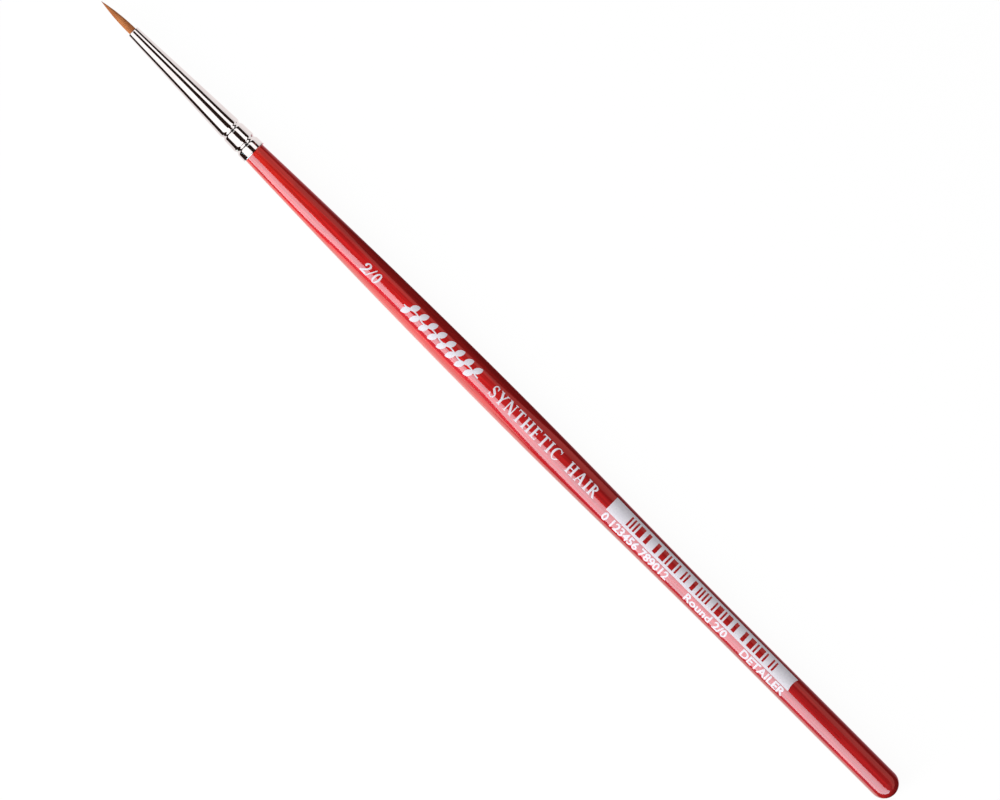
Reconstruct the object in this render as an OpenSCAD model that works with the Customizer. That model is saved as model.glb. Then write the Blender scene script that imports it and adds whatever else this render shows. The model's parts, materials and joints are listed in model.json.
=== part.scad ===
// Fine detail brush, size 2/0, lying on its side with its point towards +X.
// Stations are distances in mm from the point of the tuft, along the brush's axis.

/* [Overall] */
// Length from the point of the tuft to the round end of the handle
total_l = 170; // [160:1:185]

/* [Tuft] */
// Length of the hair that stands out of the ferrule
tuft_out = 6.7; // [5:0.1:9]
// Length of the hair held inside the ferrule
root_l = 7; // [6:0.5:9]
// Thickness of the binding thread
thread_d = 0.14; // [0.1:0.01:0.16]
// Turns of thread round the root
thread_turns = 6; // [3:1:7]
// Length of the resin plug that holds the root
resin_l = 3.4; // [2:0.1:5]

/* [Ferrule] */
// Length of the metal tube
ferrule_l = 26; // [24:0.1:30]
// Outside diameter at the mouth
mouth_d = 1.88; // [1.6:0.01:2.2]
// Outside diameter at the front crimp
crimp_d = 3.72; // [3.4:0.01:3.8]
// Outside diameter at the rear edge
rear_d = 4.06; // [3.8:0.01:4.2]
// Wall thickness
wall = 0.24; // [0.15:0.01:0.25]
// Distance from the rear edge to the front crimp
crimp_front = 4.9; // [4:0.1:6]
// Distance from the rear edge to the rear crimp
crimp_rear = 1.85; // [1.8:0.05:2.4]
// Width of a crimp groove
crimp_w = 0.95; // [0.5:0.05:1]
// Depth of a crimp groove
crimp_depth = 0.22; // [0.1:0.01:0.3]

/* [Handle] */
// Diameter of the belly, where the handle is thickest
belly_d = 5.46; // [4.9:0.01:6]
// Diameter of the straight shank behind the belly
shank_d = 4.58; // [4:0.01:4.8]
// Station of the belly
belly_at = 87.3; // [75:0.1:95]
// Station where the shank starts
shank_at = 135.6; // [125:0.1:140]
// How far the tenon goes into the ferrule
tenon_l = 10; // [8:0.5:12]
// Thickness of the lacquer
lacquer_t = 0.12; // [0.05:0.01:0.2]
// Thickness of the glue round the tenon
glue_t = 0.05; // [0.03:0.01:0.1]

/* [Print] */
// Thickness of the white foil
foil_t = 0.02; // [0.01:0.01:0.05]
// Station where the size mark starts
size_at = 56.4; // [50:0.1:60]
// Height of the size figures
size_h = 1.95; // [1.2:0.05:2.2]
// Station where the leaf ornament starts
sprig_at = 64.9; // [62:0.1:70]
// Length of the leaf ornament
sprig_l = 16; // [12:0.5:18]
// Station where the striped patch starts
patch_at = 108.5; // [104:0.1:112]
// Length of the striped patch
patch_l = 38.9; // [37:0.1:42]

/* [Hidden] */
$fn = 96;

slip = 0.02;            // play between parts that slide into each other, on the radius
curve_steps = 24;       // straight steps in each curved stretch of the handle
crimp_steps = 8;        // straight steps across a crimp groove
end_steps = 9;          // straight steps in the round end
tuft_steps = 10;        // straight steps along the crowned tuft
lip_r = 0.07;           // rounding of the ferrule's mouth and rear edge
front_power = 1.9;      // how quickly the handle swells behind the ferrule
tip_r = 0.03;           // radius of the last few hairs at the point
tuft_power = 2.1;       // how quickly the tuft swells behind its point
lacquer_in = 0.8;       // length of lacquer hidden inside the ferrule
tenon_chamfer = 0.3;

ferrule_end = tuft_out + ferrule_l;
front_crimp = ferrule_end - crimp_front;
rear_crimp = ferrule_end - crimp_rear;
tuft_r = mouth_d / 2 - wall - slip;
front_r = rear_d / 2 - wall - slip;
belly_r = belly_d / 2;
shank_r = shank_d / 2;
tenon_start = ferrule_end - tenon_l;
lacquer_start = ferrule_end - lacquer_in;
root_end = tuft_out + root_l;
thread_pitch = thread_d * 1.08;
thread_start = root_end - 2.4;
resin_start = root_end - 0.9;

// Foil layout. Angles are measured round the axis from straight up towards +Y.
patch_low = -54.2;
patch_high = 10.2;
stripe_low = -42.5;
stripe_high = 0;
stripe_margin = 3.72;   // plain foil at the front end of the patch
stripe_module = 0.33;   // width of the thinnest stripe
stripe_count = 29;
stripe_guard = 3;       // narrow stripes and gaps at each end and in the middle
film_steps = 6;         // straight steps along the film that a foil shape is cut from
window_cut = 0.2;       // how far the cut of a stripe runs past the foil, on both sides
foil_reach = 3;         // height of the block that cuts a foil shape out of its film
arc_step = 15;          // degrees between the points of a round stretch in the print

// The brush's own axis is Z, from the point to the round end. This lays it along the row's X,
// with local +X upwards, and stands its belly on the ground.
module lay_down() {
    translate([total_l / 2, 0, belly_r])
        rotate([0, -90, 0])
            children();
}

module turned(points) {
    lay_down()
        rotate_extrude()
            polygon(points);
}

// How deep a crimp centred at c is at station s.
function crimp_dip(s, c) =
    abs(s - c) >= crimp_w / 2 ? 0 : crimp_depth * (1 + cos(360 * (s - c) / crimp_w)) / 2;

function mix(a, b, share) = a + (b - a) * share;

function ferrule_cone_r(s) =
    s < front_crimp
        ? mix(mouth_d, crimp_d, (s - tuft_out) / (front_crimp - tuft_out)) / 2
        : mix(crimp_d, rear_d, (s - front_crimp) / (ferrule_end - front_crimp)) / 2;

function ferrule_r(s) = ferrule_cone_r(s) - crimp_dip(s, front_crimp) - crimp_dip(s, rear_crimp);
function bore_r(s) = ferrule_r(s) - wall;

function crimp_stations(c) = [for (i = [0:crimp_steps]) c + crimp_w * (i / crimp_steps - 0.5)];

// Outside radius of the lacquered handle at station s, up to where its round end starts.
function swell_r(s) =
    let (share = (s - ferrule_end) / (belly_at - ferrule_end))
    belly_r - (belly_r - front_r) * pow(1 - share, front_power);
function waist_r(s) =
    mix(belly_r, shank_r, (1 - cos(180 * (s - belly_at) / (shank_at - belly_at))) / 2);
function handle_r(s) =
    s <= ferrule_end ? front_r : s < belly_at ? swell_r(s) : s < shank_at ? waist_r(s) : shank_r;

// Outline of the handle from the ferrule's rear edge to its round end, set in by inset.
function handle_outline(inset) = concat(
    [for (i = [0:curve_steps])
        let (s = mix(ferrule_end, belly_at, i / curve_steps)) [handle_r(s) - inset, s]],
    [for (i = [1:curve_steps])
        let (s = mix(belly_at, shank_at, i / curve_steps)) [handle_r(s) - inset, s]],
    [for (i = [0:end_steps - 1])
        let (a = 90 * i / end_steps, r = shank_r - inset)
            [r * cos(a), total_l - shank_r + r * sin(a)]],
    [[0, total_l - inset]]
);

function tenon_r(s) = min(front_r - lacquer_t, bore_r(s) - glue_t);

tenon_stations = concat(
    [tenon_start + tenon_chamfer],
    crimp_stations(front_crimp),
    crimp_stations(rear_crimp),
    [lacquer_start]
);

function reversed(list) = [for (i = [len(list) - 1:-1:0]) list[i]];

module wood_handle() {
    color("BurlyWood")
        turned(concat(
            [[0, tenon_start], [tenon_r(tenon_start) - tenon_chamfer, tenon_start]],
            [for (s = tenon_stations) [tenon_r(s), s]],
            handle_outline(lacquer_t)
        ));
}

module lacquer_coat() {
    color("Firebrick")
        turned(concat(
            [[front_r - lacquer_t, lacquer_start], [front_r, lacquer_start]],
            handle_outline(0),
            reversed(handle_outline(lacquer_t))
        ));
}

// A thin tube drawn to a cone, with a rolled lip at its mouth and two grooves crimped into it.
module ferrule() {
    stations = concat(
        [tuft_out + lip_r],
        crimp_stations(front_crimp),
        crimp_stations(rear_crimp),
        [ferrule_end - lip_r]
    );
    color("Silver")
        turned(concat(
            [[bore_r(tuft_out), tuft_out], [ferrule_r(tuft_out) - lip_r, tuft_out]],
            [for (s = stations) [ferrule_r(s), s]],
            [[ferrule_r(ferrule_end) - lip_r, ferrule_end], [bore_r(ferrule_end), ferrule_end]],
            [for (s = reversed(stations)) [bore_r(s), s]]
        ));
}

// The bundle of hair: a crowned point outside the ferrule and a straight root inside it.
module hair_tuft() {
    color("Sienna")
        turned(concat(
            [[0, 0]],
            [for (i = [0:tuft_steps])
                let (u = i / tuft_steps, r = mix(tip_r, tuft_r, 1 - pow(1 - u, tuft_power)))
                    [r, mix(tip_r, tuft_out, u)]],
            [[tuft_r, root_end], [0, root_end]]
        ));
}

// One thread wound round the root, swept as a six-sided tube along a helix.
module binding_thread() {
    sides = 6;
    rings_per_turn = 20;
    rings = thread_turns * rings_per_turn;
    coil_r = tuft_r + thread_d / 2 + slip / 2;
    points = [for (k = [0:rings], j = [0:sides - 1])
        let (
            a = 360 * k / rings_per_turn,
            b = 360 * j / sides,
            r = coil_r + thread_d / 2 * cos(b)
        )
        [
            r * cos(a),
            r * sin(a),
            thread_start + thread_pitch * k / rings_per_turn + thread_d / 2 * sin(b)
        ]];
    skin = [for (k = [0:rings - 1], j = [0:sides - 1])
        let (n = (j + 1) % sides, at = k * sides)
        [at + j, at + n, at + sides + n, at + sides + j]];
    ends = [
        [for (j = [sides - 1:-1:0]) j],
        [for (j = [0:sides - 1]) rings * sides + j]
    ];
    color("Ivory")
        lay_down()
            polyhedron(points, concat(skin, ends), convexity = 10);
}

// Resin poured in behind the hair: it fills the bore and has a pocket for the root.
module root_resin() {
    resin_end = resin_start + resin_l;
    color("DarkGoldenrod")
        turned([
            [tuft_r, resin_start],
            [bore_r(resin_start), resin_start],
            [bore_r(resin_end), resin_end],
            [0, resin_end],
            [0, root_end],
            [tuft_r, root_end]
        ]);
}

module tenon_glue() {
    inside = [for (s = tenon_stations) [tenon_r(s), s]];
    outside = [for (s = tenon_stations) [bore_r(s), s]];
    color("Khaki")
        turned(concat(inside, reversed(outside)));
}

// A skin of foil on the handle along a list of stations, and between two angles.
module film(stations, low, high, depth = 0) {
    lay_down()
        rotate([0, 0, low])
            rotate_extrude(angle = high - low)
                polygon(concat(
                    [for (s = stations) [handle_r(s) - depth, s]],
                    [for (s = reversed(stations)) [handle_r(s) + foil_t + depth, s]]
                ));
}

// Cuts the film to a flat outline that is drawn with X towards the round end and Y towards -Y.
module foil_shape(from, to, low, high) {
    intersection() {
        film([for (i = [0:film_steps]) mix(from, to, i / film_steps)], low, high);
        translate([total_l / 2 - from, 0, belly_r])
            rotate([0, 0, 180])
                linear_extrude(height = foil_reach)
                    children();
    }
}

function arc(x, y, rx, ry, from, to) =
    let (n = ceil(abs(to - from) / arc_step))
    [for (i = [0:n]) let (a = mix(from, to, i / n)) [x + rx * cos(a), y + ry * sin(a)]];

// A figure 2 as one outline: round its bowl, down the slanted stroke, along its foot and back.
module figure_two(h, stroke) {
    bowl = h * 0.3;
    polygon(concat(
        arc(bowl, h - bowl, bowl, bowl, 175, -30),
        [[stroke * 1.35, stroke], [2 * bowl, stroke], [2 * bowl, 0], [0, 0], [0, stroke * 0.9]],
        arc(bowl, h - bowl, bowl - stroke, bowl - stroke, -30, 175)
    ));
}

module slash(h, stroke) {
    polygon([[0, 0], [stroke, 0], [h * 0.36 + stroke, h], [h * 0.36, h]]);
}

// A figure 0 with heavy sides and a thin top and foot.
module figure_nought(h, stroke) {
    rx = h * 0.28;
    ry = h / 2;
    translate([rx, ry])
        difference() {
            polygon(arc(0, 0, rx, ry, 0, 360 - arc_step));
            polygon(arc(0, 0, rx - stroke, ry - stroke * 0.6, 0, 360 - arc_step));
        }
}

module size_mark_foil() {
    stroke = size_h * 0.17;
    width = size_h * 1.8;
    foot_y = size_h * 0.7;      // how far the figures' feet lie from the axis, towards +Y
    color("White")
        foil_shape(size_at, size_at + width, -30, 50)
            translate([0, -foot_y]) {
                figure_two(size_h, stroke);
                translate([size_h * 0.68, 0]) slash(size_h, stroke * 0.8);
                translate([size_h * 1.22, 0]) figure_nought(size_h, stroke);
            }
}

// A pointed leaf along X, drawn as the overlap of two discs.
module leaf(length, width) {
    r = (length * length + width * width) / (4 * width);
    intersection() {
        translate([length / 2, r - width / 2]) circle(r);
        translate([length / 2, width / 2 - r]) circle(r);
    }
}

// A wavy stem with pairs of slanted leaves, one above it and one below.
module leaf_ornament_foil() {
    leaves = 8;
    leaf_l = 1.75;
    leaf_w = 0.95;
    slant = 54;
    stem_w = 0.2;
    wave = 0.16;
    first = 1.3;
    pitch = (sprig_l - 2 * first) / (leaves - 1);
    wave_steps = 6 * leaves;
    stem_x = [for (i = [0:wave_steps]) mix(0.1, sprig_l - 0.1, i / wave_steps)];
    function stem_y(x) = wave * sin(180 * (x - first) / pitch);
    color("White")
        foil_shape(sprig_at, sprig_at + sprig_l, -50, 50) {
            polygon(concat(
                [for (x = stem_x) [x, stem_y(x) - stem_w / 2]],
                [for (x = reversed(stem_x)) [x, stem_y(x) + stem_w / 2]]
            ));
            for (i = [0:leaves - 1], turn = [0, 180])
                translate([first + i * pitch, 0])
                    rotate(slant + turn)
                        translate([-0.15, 0])
                            leaf(leaf_l, leaf_w);
        }
}

// Widths of the stripes and gaps in turn, in modules, by a rule that spells nothing.
function stripe_width(i) =
    let (last = 2 * stripe_count - 2)
    i < stripe_guard || i > last - stripe_guard || abs(i - last / 2) < stripe_guard
        ? 1
        : 1 + (7 * i * i + 10 * i) % 17 % 4;
function stripe_edge(i) = i == 0 ? 0 : stripe_edge(i - 1) + stripe_width(i - 1);

// The film has a station at each edge of a stripe, so that each stripe is a clean cut.
module striped_patch_foil() {
    first = patch_at + stripe_margin;
    edges = [for (i = [0:2 * stripe_count - 1]) first + stripe_module * stripe_edge(i)];
    color("WhiteSmoke")
        difference() {
            film(concat([patch_at], edges, [patch_at + patch_l]), patch_low, patch_high);
            for (i = [0:stripe_count - 1])
                film([edges[2 * i], edges[2 * i + 1]], stripe_low, stripe_high, window_cut);
        }
}

wood_handle();
lacquer_coat();
ferrule();
hair_tuft();
binding_thread();
root_resin();
tenon_glue();
size_mark_foil();
leaf_ornament_foil();
striped_patch_foil();
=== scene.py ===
import json
import math
import random

import bmesh
import bpy
import numpy as np
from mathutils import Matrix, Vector

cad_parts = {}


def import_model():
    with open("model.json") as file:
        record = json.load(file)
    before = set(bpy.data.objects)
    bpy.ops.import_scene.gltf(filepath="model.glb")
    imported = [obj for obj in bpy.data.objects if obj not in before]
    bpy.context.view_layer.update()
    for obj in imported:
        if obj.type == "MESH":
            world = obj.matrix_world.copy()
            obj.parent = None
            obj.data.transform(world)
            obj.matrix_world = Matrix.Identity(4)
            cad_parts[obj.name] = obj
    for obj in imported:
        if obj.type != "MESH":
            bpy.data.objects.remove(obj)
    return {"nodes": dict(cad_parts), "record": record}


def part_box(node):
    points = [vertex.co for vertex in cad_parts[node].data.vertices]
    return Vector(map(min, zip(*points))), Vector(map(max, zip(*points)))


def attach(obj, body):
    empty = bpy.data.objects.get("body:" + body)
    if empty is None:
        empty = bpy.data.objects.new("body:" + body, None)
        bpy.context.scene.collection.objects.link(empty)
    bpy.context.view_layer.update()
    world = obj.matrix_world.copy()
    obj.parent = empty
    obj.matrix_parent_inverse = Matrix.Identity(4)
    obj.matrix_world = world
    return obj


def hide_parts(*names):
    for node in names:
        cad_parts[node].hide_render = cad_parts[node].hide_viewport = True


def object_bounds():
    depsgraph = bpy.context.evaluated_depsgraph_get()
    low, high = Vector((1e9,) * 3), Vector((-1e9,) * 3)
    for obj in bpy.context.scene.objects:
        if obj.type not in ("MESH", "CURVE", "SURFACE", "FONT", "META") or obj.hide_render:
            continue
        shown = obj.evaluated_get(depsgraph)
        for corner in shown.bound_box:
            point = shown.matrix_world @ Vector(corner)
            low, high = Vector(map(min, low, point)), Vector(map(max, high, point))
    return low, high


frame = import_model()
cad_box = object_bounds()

MM = 0.001                  # metres in a millimetre
POINT_X = cad_box[1].x / MM
TOTAL_L = (cad_box[1].x - cad_box[0].x) / MM
SHANK_MOUNT = next(m for m in frame["record"]["mounts"] if m["name"] == "handle_shank")
SHANK_R = SHANK_MOUNT["dims"]["r_mm"]
AXIS_Z = SHANK_MOUNT["pos_m"][2] / MM
SEGMENTS = 144              # sides of a turned piece
RING_STEP = 0.5             # length of a turned piece between two rings
SHARP_ANGLE = math.radians(40)


# ---- Places and outlines, read from the CAD nodes ----

def place(station, angle, radius):
    """The point at a station, an angle round the axis and a radius, in metres."""
    turn = math.radians(angle)
    y = radius * math.sin(turn)
    z = AXIS_Z + radius * math.cos(turn)
    return ((POINT_X - station) * MM, y * MM, z * MM)


def station_span(node):
    """First and last station of a CAD node."""
    low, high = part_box(node)
    return POINT_X - high.x / MM, POINT_X - low.x / MM


def node_outline(node, side):
    """Rows of (station, radius) of a turned CAD node: side is 1 for its outside and -1 for its bore."""
    least_facing = 0.1
    rows = {}
    for vertex in frame["nodes"][node].data.vertices:
        spoke = Vector((0, vertex.co.y, vertex.co.z - AXIS_Z * MM))
        if side * vertex.normal.dot(spoke.normalized()) > least_facing:
            station = round(POINT_X - vertex.co.x / MM, 3)
            radius = spoke.length / MM
            rows[station] = max(rows.get(station, radius), radius)
    return np.array(sorted(rows.items()))


def smooth_curve(outline):
    """A function from station to radius that runs smoothly through the outline and never overshoots it."""
    stations, radii = outline[:, 0], outline[:, 1]
    gap = np.diff(stations)
    rise = np.diff(radii) / gap
    slope = np.concatenate([rise[:1], np.zeros(len(rise) - 1), rise[-1:]])
    for i in range(1, len(rise)):
        if rise[i - 1] * rise[i] > 0:
            slope[i] = 2 * rise[i - 1] * rise[i] / (rise[i - 1] + rise[i])

    def radius_at(at):
        k = np.clip(np.searchsorted(stations, at, side="right") - 1, 0, len(gap) - 1)
        u = (at - stations[k]) / gap[k]
        start = (1 + 2 * u) * (1 - u) ** 2 * radii[k] + u * (1 - u) ** 2 * gap[k] * slope[k]
        end = u * u * (3 - 2 * u) * radii[k + 1] + u * u * (u - 1) * gap[k] * slope[k + 1]
        return start + end
    return radius_at


DOME_AT = TOTAL_L - SHANK_R
HANDLE_OUTLINE = node_outline("lacquer_coat", 1)
HANDLE_OUTLINE = HANDLE_OUTLINE[HANDLE_OUTLINE[:, 0] <= DOME_AT + 0.01]
handle_r = smooth_curve(HANDLE_OUTLINE)     # outside radius of the handle ahead of its round end
LACQUER_T = (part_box("lacquer_coat")[1].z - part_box("wood_handle")[1].z) / MM
FERRULE_FROM, FERRULE_TO = station_span("ferrule")


# ---- Making pieces ----

def make_object(name, points, faces, material):
    """A smooth mesh object with its faces turned outwards."""
    mesh = bpy.data.meshes.new(name)
    mesh.from_pydata(points, [], faces)
    work = bmesh.new()
    work.from_mesh(mesh)
    bmesh.ops.recalc_face_normals(work, faces=work.faces)
    work.to_mesh(mesh)
    work.free()
    mesh.shade_smooth()
    mesh.set_sharp_from_angle(angle=SHARP_ANGLE)
    mesh.materials.append(material)
    made = bpy.data.objects.new(name, mesh)
    bpy.context.scene.collection.objects.link(made)
    return made


def make_piece(name, points, faces, material, slot, stands_for=()):
    """A piece of the brush that rides on its one body."""
    piece = make_object(name, points, faces, material)
    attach(piece, "root")
    if stands_for:
        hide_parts(*stands_for)


def turned(outline):
    """Points and faces of a closed shell turned from a closed outline of (station, radius)."""
    points, rings, faces = [], [], []
    for station, radius in outline:
        sides = SEGMENTS if radius > 1e-6 else 1
        rings.append([len(points) + k for k in range(sides)])
        points += [place(station, 360 * k / sides, radius) for k in range(sides)]
    for a, b in zip(rings, rings[1:] + rings[:1]):
        for k in range(SEGMENTS):
            n = (k + 1) % SEGMENTS
            if len(a) > 1 and len(b) > 1:
                faces.append((a[k], a[n], b[n], b[k]))
            elif len(a) > 1:
                faces.append((a[k], a[n], b[0]))
            elif len(b) > 1:
                faces.append((a[0], b[n], b[k]))
    return points, faces


def steps(start, end, longest):
    """Evenly spread stations from start to end, both kept, no further apart than longest."""
    return np.linspace(start, end, max(1, math.ceil((end - start) / longest)) + 1)


# ---- Materials ----

def new_material(name, values):
    """A material whose Principled shader has these values set on its own sockets."""
    material = bpy.data.materials.new(name)
    material.use_nodes = True
    shader = material.node_tree.nodes["Principled BSDF"]
    for socket, value in values.items():
        shader.inputs[socket].default_value = value
    return material, material.node_tree, shader


def add_node(tree, kind, links=(), values=(), **settings):
    """A node with its settings, its sockets' own values and its incoming links."""
    made = tree.nodes.new(kind)
    for key, value in settings.items():
        setattr(made, key, value)
    for socket, value in dict(values).items():
        made.inputs[socket].default_value = value
    for socket, source in dict(links).items():
        tree.links.new(source, made.inputs[socket])
    return made


def stretched_noise(tree, along, across, detail=3.0, distortion=0.0):
    """Noise in the frame's own coordinates, with this many features to a metre along and across."""
    place_in = add_node(tree, "ShaderNodeTexCoord")
    scaled = add_node(
        tree, "ShaderNodeMapping",
        links={"Vector": place_in.outputs["Object"]},
        values={"Scale": (along, across, across)},
    )
    noise = add_node(
        tree, "ShaderNodeTexNoise",
        links={"Vector": scaled.outputs["Vector"]},
        values={"Scale": 1.0, "Detail": detail, "Roughness": 0.55, "Distortion": distortion},
    )
    return noise.outputs["Fac"]


def fade(tree, source, low, high):
    """0 where the source is below low, 1 where it is above high, and smooth between."""
    ramp = add_node(
        tree, "ShaderNodeMapRange",
        links={"Value": source},
        values={"From Min": low, "From Max": high},
        interpolation_type="SMOOTHSTEP",
    )
    return ramp.outputs["Result"]


def blend_colours(tree, share, first, second):
    """Mixes two colours, each a colour or a socket, by a share that is a number or a socket."""
    mixer = add_node(tree, "ShaderNodeMix", data_type="RGBA")
    for socket, value in ((0, share), (6, first), (7, second)):
        if isinstance(value, bpy.types.NodeSocket):
            tree.links.new(value, mixer.inputs[socket])
        else:
            mixer.inputs[socket].default_value = value
    return mixer.outputs[2]


def roughen(tree, shader, height, depth):
    """Bump from a height between 0 and 1 that stands for a depth in metres."""
    bump = add_node(
        tree, "ShaderNodeBump", links={"Height": height}, values={"Strength": 1.0, "Distance": depth}
    )
    tree.links.new(bump.outputs["Normal"], shader.inputs["Normal"])


def rgb(red, green, blue):
    """A colour that isn't see-through."""
    return (red, green, blue, 1.0)


def lacquer_material():
    """Red lacquer with painted light and shade: lighter red on the side facing the key light, darker red
    elsewhere, with the wood's grain showing through.
    """
    material, tree, shader = new_material("red_lacquer", {
        "Roughness": 0.5,
        "Specular IOR Level": 0.0,
        "Coat Weight": 1.0,
        "Coat Roughness": 0.08,
        "Coat IOR": 2.0,
    })
    # Painted light and shade: the share of the surface that faces the key light, 40 degrees towards +Y,
    # gets the lighter red; noise makes the edge between them wander.
    where = add_node(tree, "ShaderNodeTexCoord")
    lit_side = math.radians(40)
    facing = add_node(
        tree, "ShaderNodeVectorMath",
        links={0: where.outputs["Normal"]},
        values={1: (0.0, math.sin(lit_side), math.cos(lit_side))},
        operation="DOT_PRODUCT",
    )
    wander = stretched_noise(tree, 130, 700)
    wandering = add_node(
        tree, "ShaderNodeMath",
        links={0: wander, 2: facing.outputs["Value"]},
        values={1: 0.3},
        operation="MULTIPLY_ADD",
    )
    top = fade(tree, wandering.outputs["Value"], 0.40, 0.85)
    split = add_node(tree, "ShaderNodeSeparateXYZ", links={"Vector": where.outputs["Object"]})
    front_from, front_to = -0.022, 0.012
    tip_end_from, tip_end_to = 0.030, 0.052
    front = fade(tree, split.outputs["X"], front_from, front_to)
    tip_end = fade(tree, split.outputs["X"], tip_end_from, tip_end_to)
    # clear holds the painted lit red and painted_shade_red the painted shaded red; both change along the
    # handle.
    clear = blend_colours(tree, front, rgb(0.63, 0.019, 0.020), rgb(0.88, 0.023, 0.023))
    clear = blend_colours(tree, tip_end, clear, rgb(0.88, 0.030, 0.019))
    painted_shade_red = blend_colours(tree, front, rgb(0.43, 0.012, 0.012), rgb(0.42, 0.013, 0.012))
    painted_shade_red = blend_colours(tree, tip_end, painted_shade_red, rgb(0.74, 0.022, 0.018))
    # Painted light and shade: top, the share facing the key light, picks the lit red over the shaded red.
    base = blend_colours(tree, top, painted_shade_red, clear)
    streaks = fade(tree, stretched_noise(tree, 110, 3200, detail=5), 0.36, 0.66)
    base = blend_colours(tree, streaks, blend_colours(tree, 0.34, base, rgb(0.12, 0.003, 0.004)), base)
    flecks = fade(tree, stretched_noise(tree, 420, 4200), 0.64, 0.74)
    fleck_share = add_node(
        tree, "ShaderNodeMath", links={0: flecks}, values={1: 0.5}, operation="MULTIPLY"
    )
    base = blend_colours(tree, fleck_share.outputs["Value"], base, rgb(0.10, 0.004, 0.006))
    tree.links.new(base, shader.inputs["Base Color"])
    return material


def nickel_material():
    """Polished nickel with the faint lines of a drawn tube."""
    material, tree, shader = new_material("polished_nickel", {"Metallic": 1.0})
    cloud = stretched_noise(tree, 300, 900, detail=4)
    base = blend_colours(tree, fade(tree, cloud, 0.3, 0.7), rgb(0.76, 0.70, 0.69), rgb(0.83, 0.79, 0.78))
    tree.links.new(base, shader.inputs["Base Color"])
    lines = stretched_noise(tree, 90, 9000)
    gloss = add_node(
        tree, "ShaderNodeMapRange", links={"Value": lines}, values={"To Min": 0.02, "To Max": 0.04}
    )
    tree.links.new(gloss.outputs["Result"], shader.inputs["Roughness"])
    return material


def hair_material():
    """Golden-brown synthetic hair, each hair a little lighter or darker."""
    material, tree, shader = new_material("brown_hair", {
        "Roughness": 0.5,
        "Specular IOR Level": 0.2,
    })
    strands = fade(tree, stretched_noise(tree, 120, 6000), 0.3, 0.7)
    base = blend_colours(tree, strands, rgb(0.46, 0.145, 0.048), rgb(0.69, 0.28, 0.103))
    tree.links.new(base, shader.inputs["Base Color"])
    return material


def foil_material():
    """Stamped white foil with a faint mottle and pinholes."""
    material, tree, shader = new_material("white_foil_film", {
        "Roughness": 0.55,
        "Specular IOR Level": 0.15,
    })
    mottle = fade(tree, stretched_noise(tree, 2600, 3600, detail=4), 0.3, 0.7)
    base = blend_colours(tree, mottle, rgb(0.83, 0.80, 0.88), rgb(0.89, 0.87, 0.93))
    pinholes = fade(tree, stretched_noise(tree, 7000, 9000, detail=1), 0.74, 0.80)
    base = blend_colours(tree, pinholes, base, rgb(0.62, 0.50, 0.56))
    tree.links.new(base, shader.inputs["Base Color"])
    return material


def wood_material():
    """Pale turned wood with its grain along the handle."""
    material, tree, shader = new_material("pale_wood", {"Roughness": 0.6})
    grain = fade(tree, stretched_noise(tree, 60, 2400, detail=6, distortion=0.4), 0.3, 0.7)
    base = blend_colours(tree, grain, rgb(0.46, 0.29, 0.15), rgb(0.78, 0.58, 0.37))
    tree.links.new(base, shader.inputs["Base Color"])
    roughen(tree, shader, grain, 0.00002)
    return material


def thread_material():
    """Twisted cotton thread."""
    material, tree, shader = new_material("cotton_thread", {"Roughness": 0.85, "Sheen Weight": 0.4})
    twist = fade(tree, stretched_noise(tree, 9000, 9000, detail=4), 0.3, 0.7)
    base = blend_colours(tree, twist, rgb(0.62, 0.57, 0.46), rgb(0.88, 0.85, 0.77))
    tree.links.new(base, shader.inputs["Base Color"])
    roughen(tree, shader, twist, 0.00001)
    return material


def resin_material():
    """Cured amber resin, a little cloudy."""
    material, tree, shader = new_material("amber_resin", {"Roughness": 0.2, "Coat Weight": 0.5})
    cloud = fade(tree, stretched_noise(tree, 1500, 1500, detail=4), 0.3, 0.7)
    base = blend_colours(tree, cloud, rgb(0.42, 0.22, 0.05), rgb(0.68, 0.45, 0.14))
    tree.links.new(base, shader.inputs["Base Color"])
    return material


def glue_material():
    """Dried glue with small bubbles."""
    material, tree, shader = new_material("dried_glue", {"Roughness": 0.5})
    bubbles = fade(tree, stretched_noise(tree, 4000, 4000, detail=2), 0.4, 0.6)
    base = blend_colours(tree, bubbles, rgb(0.70, 0.62, 0.42), rgb(0.84, 0.79, 0.60))
    tree.links.new(base, shader.inputs["Base Color"])
    roughen(tree, shader, bubbles, 0.00001)
    return material


def finish_cad_node(node, material):
    """Gives a CAD node that is kept its own material."""
    mesh = frame["nodes"][node].data
    mesh.materials.clear()
    mesh.materials.append(material)


# ---- Handle and ferrule ----

def lacquer_shell():
    """The lacquer coat as one closed shell, open at the front and domed at the back."""
    stations = steps(HANDLE_OUTLINE[0, 0], DOME_AT, RING_STEP)
    dome_steps = 14

    def coat(inset):
        front = list(zip(stations, handle_r(stations) - inset))
        r = SHANK_R - inset
        dome = []
        for i in range(1, dome_steps):
            rise = math.pi / 2 * i / dome_steps
            dome.append((DOME_AT + r * math.sin(rise), r * math.cos(rise)))
        return front + dome + [(DOME_AT + r, 0.0)]

    outline = coat(0) + coat(LACQUER_T)[::-1]
    make_piece("lacquer_shell", *turned(outline), LACQUER, "lacquer", ["lacquer_coat"])


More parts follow.
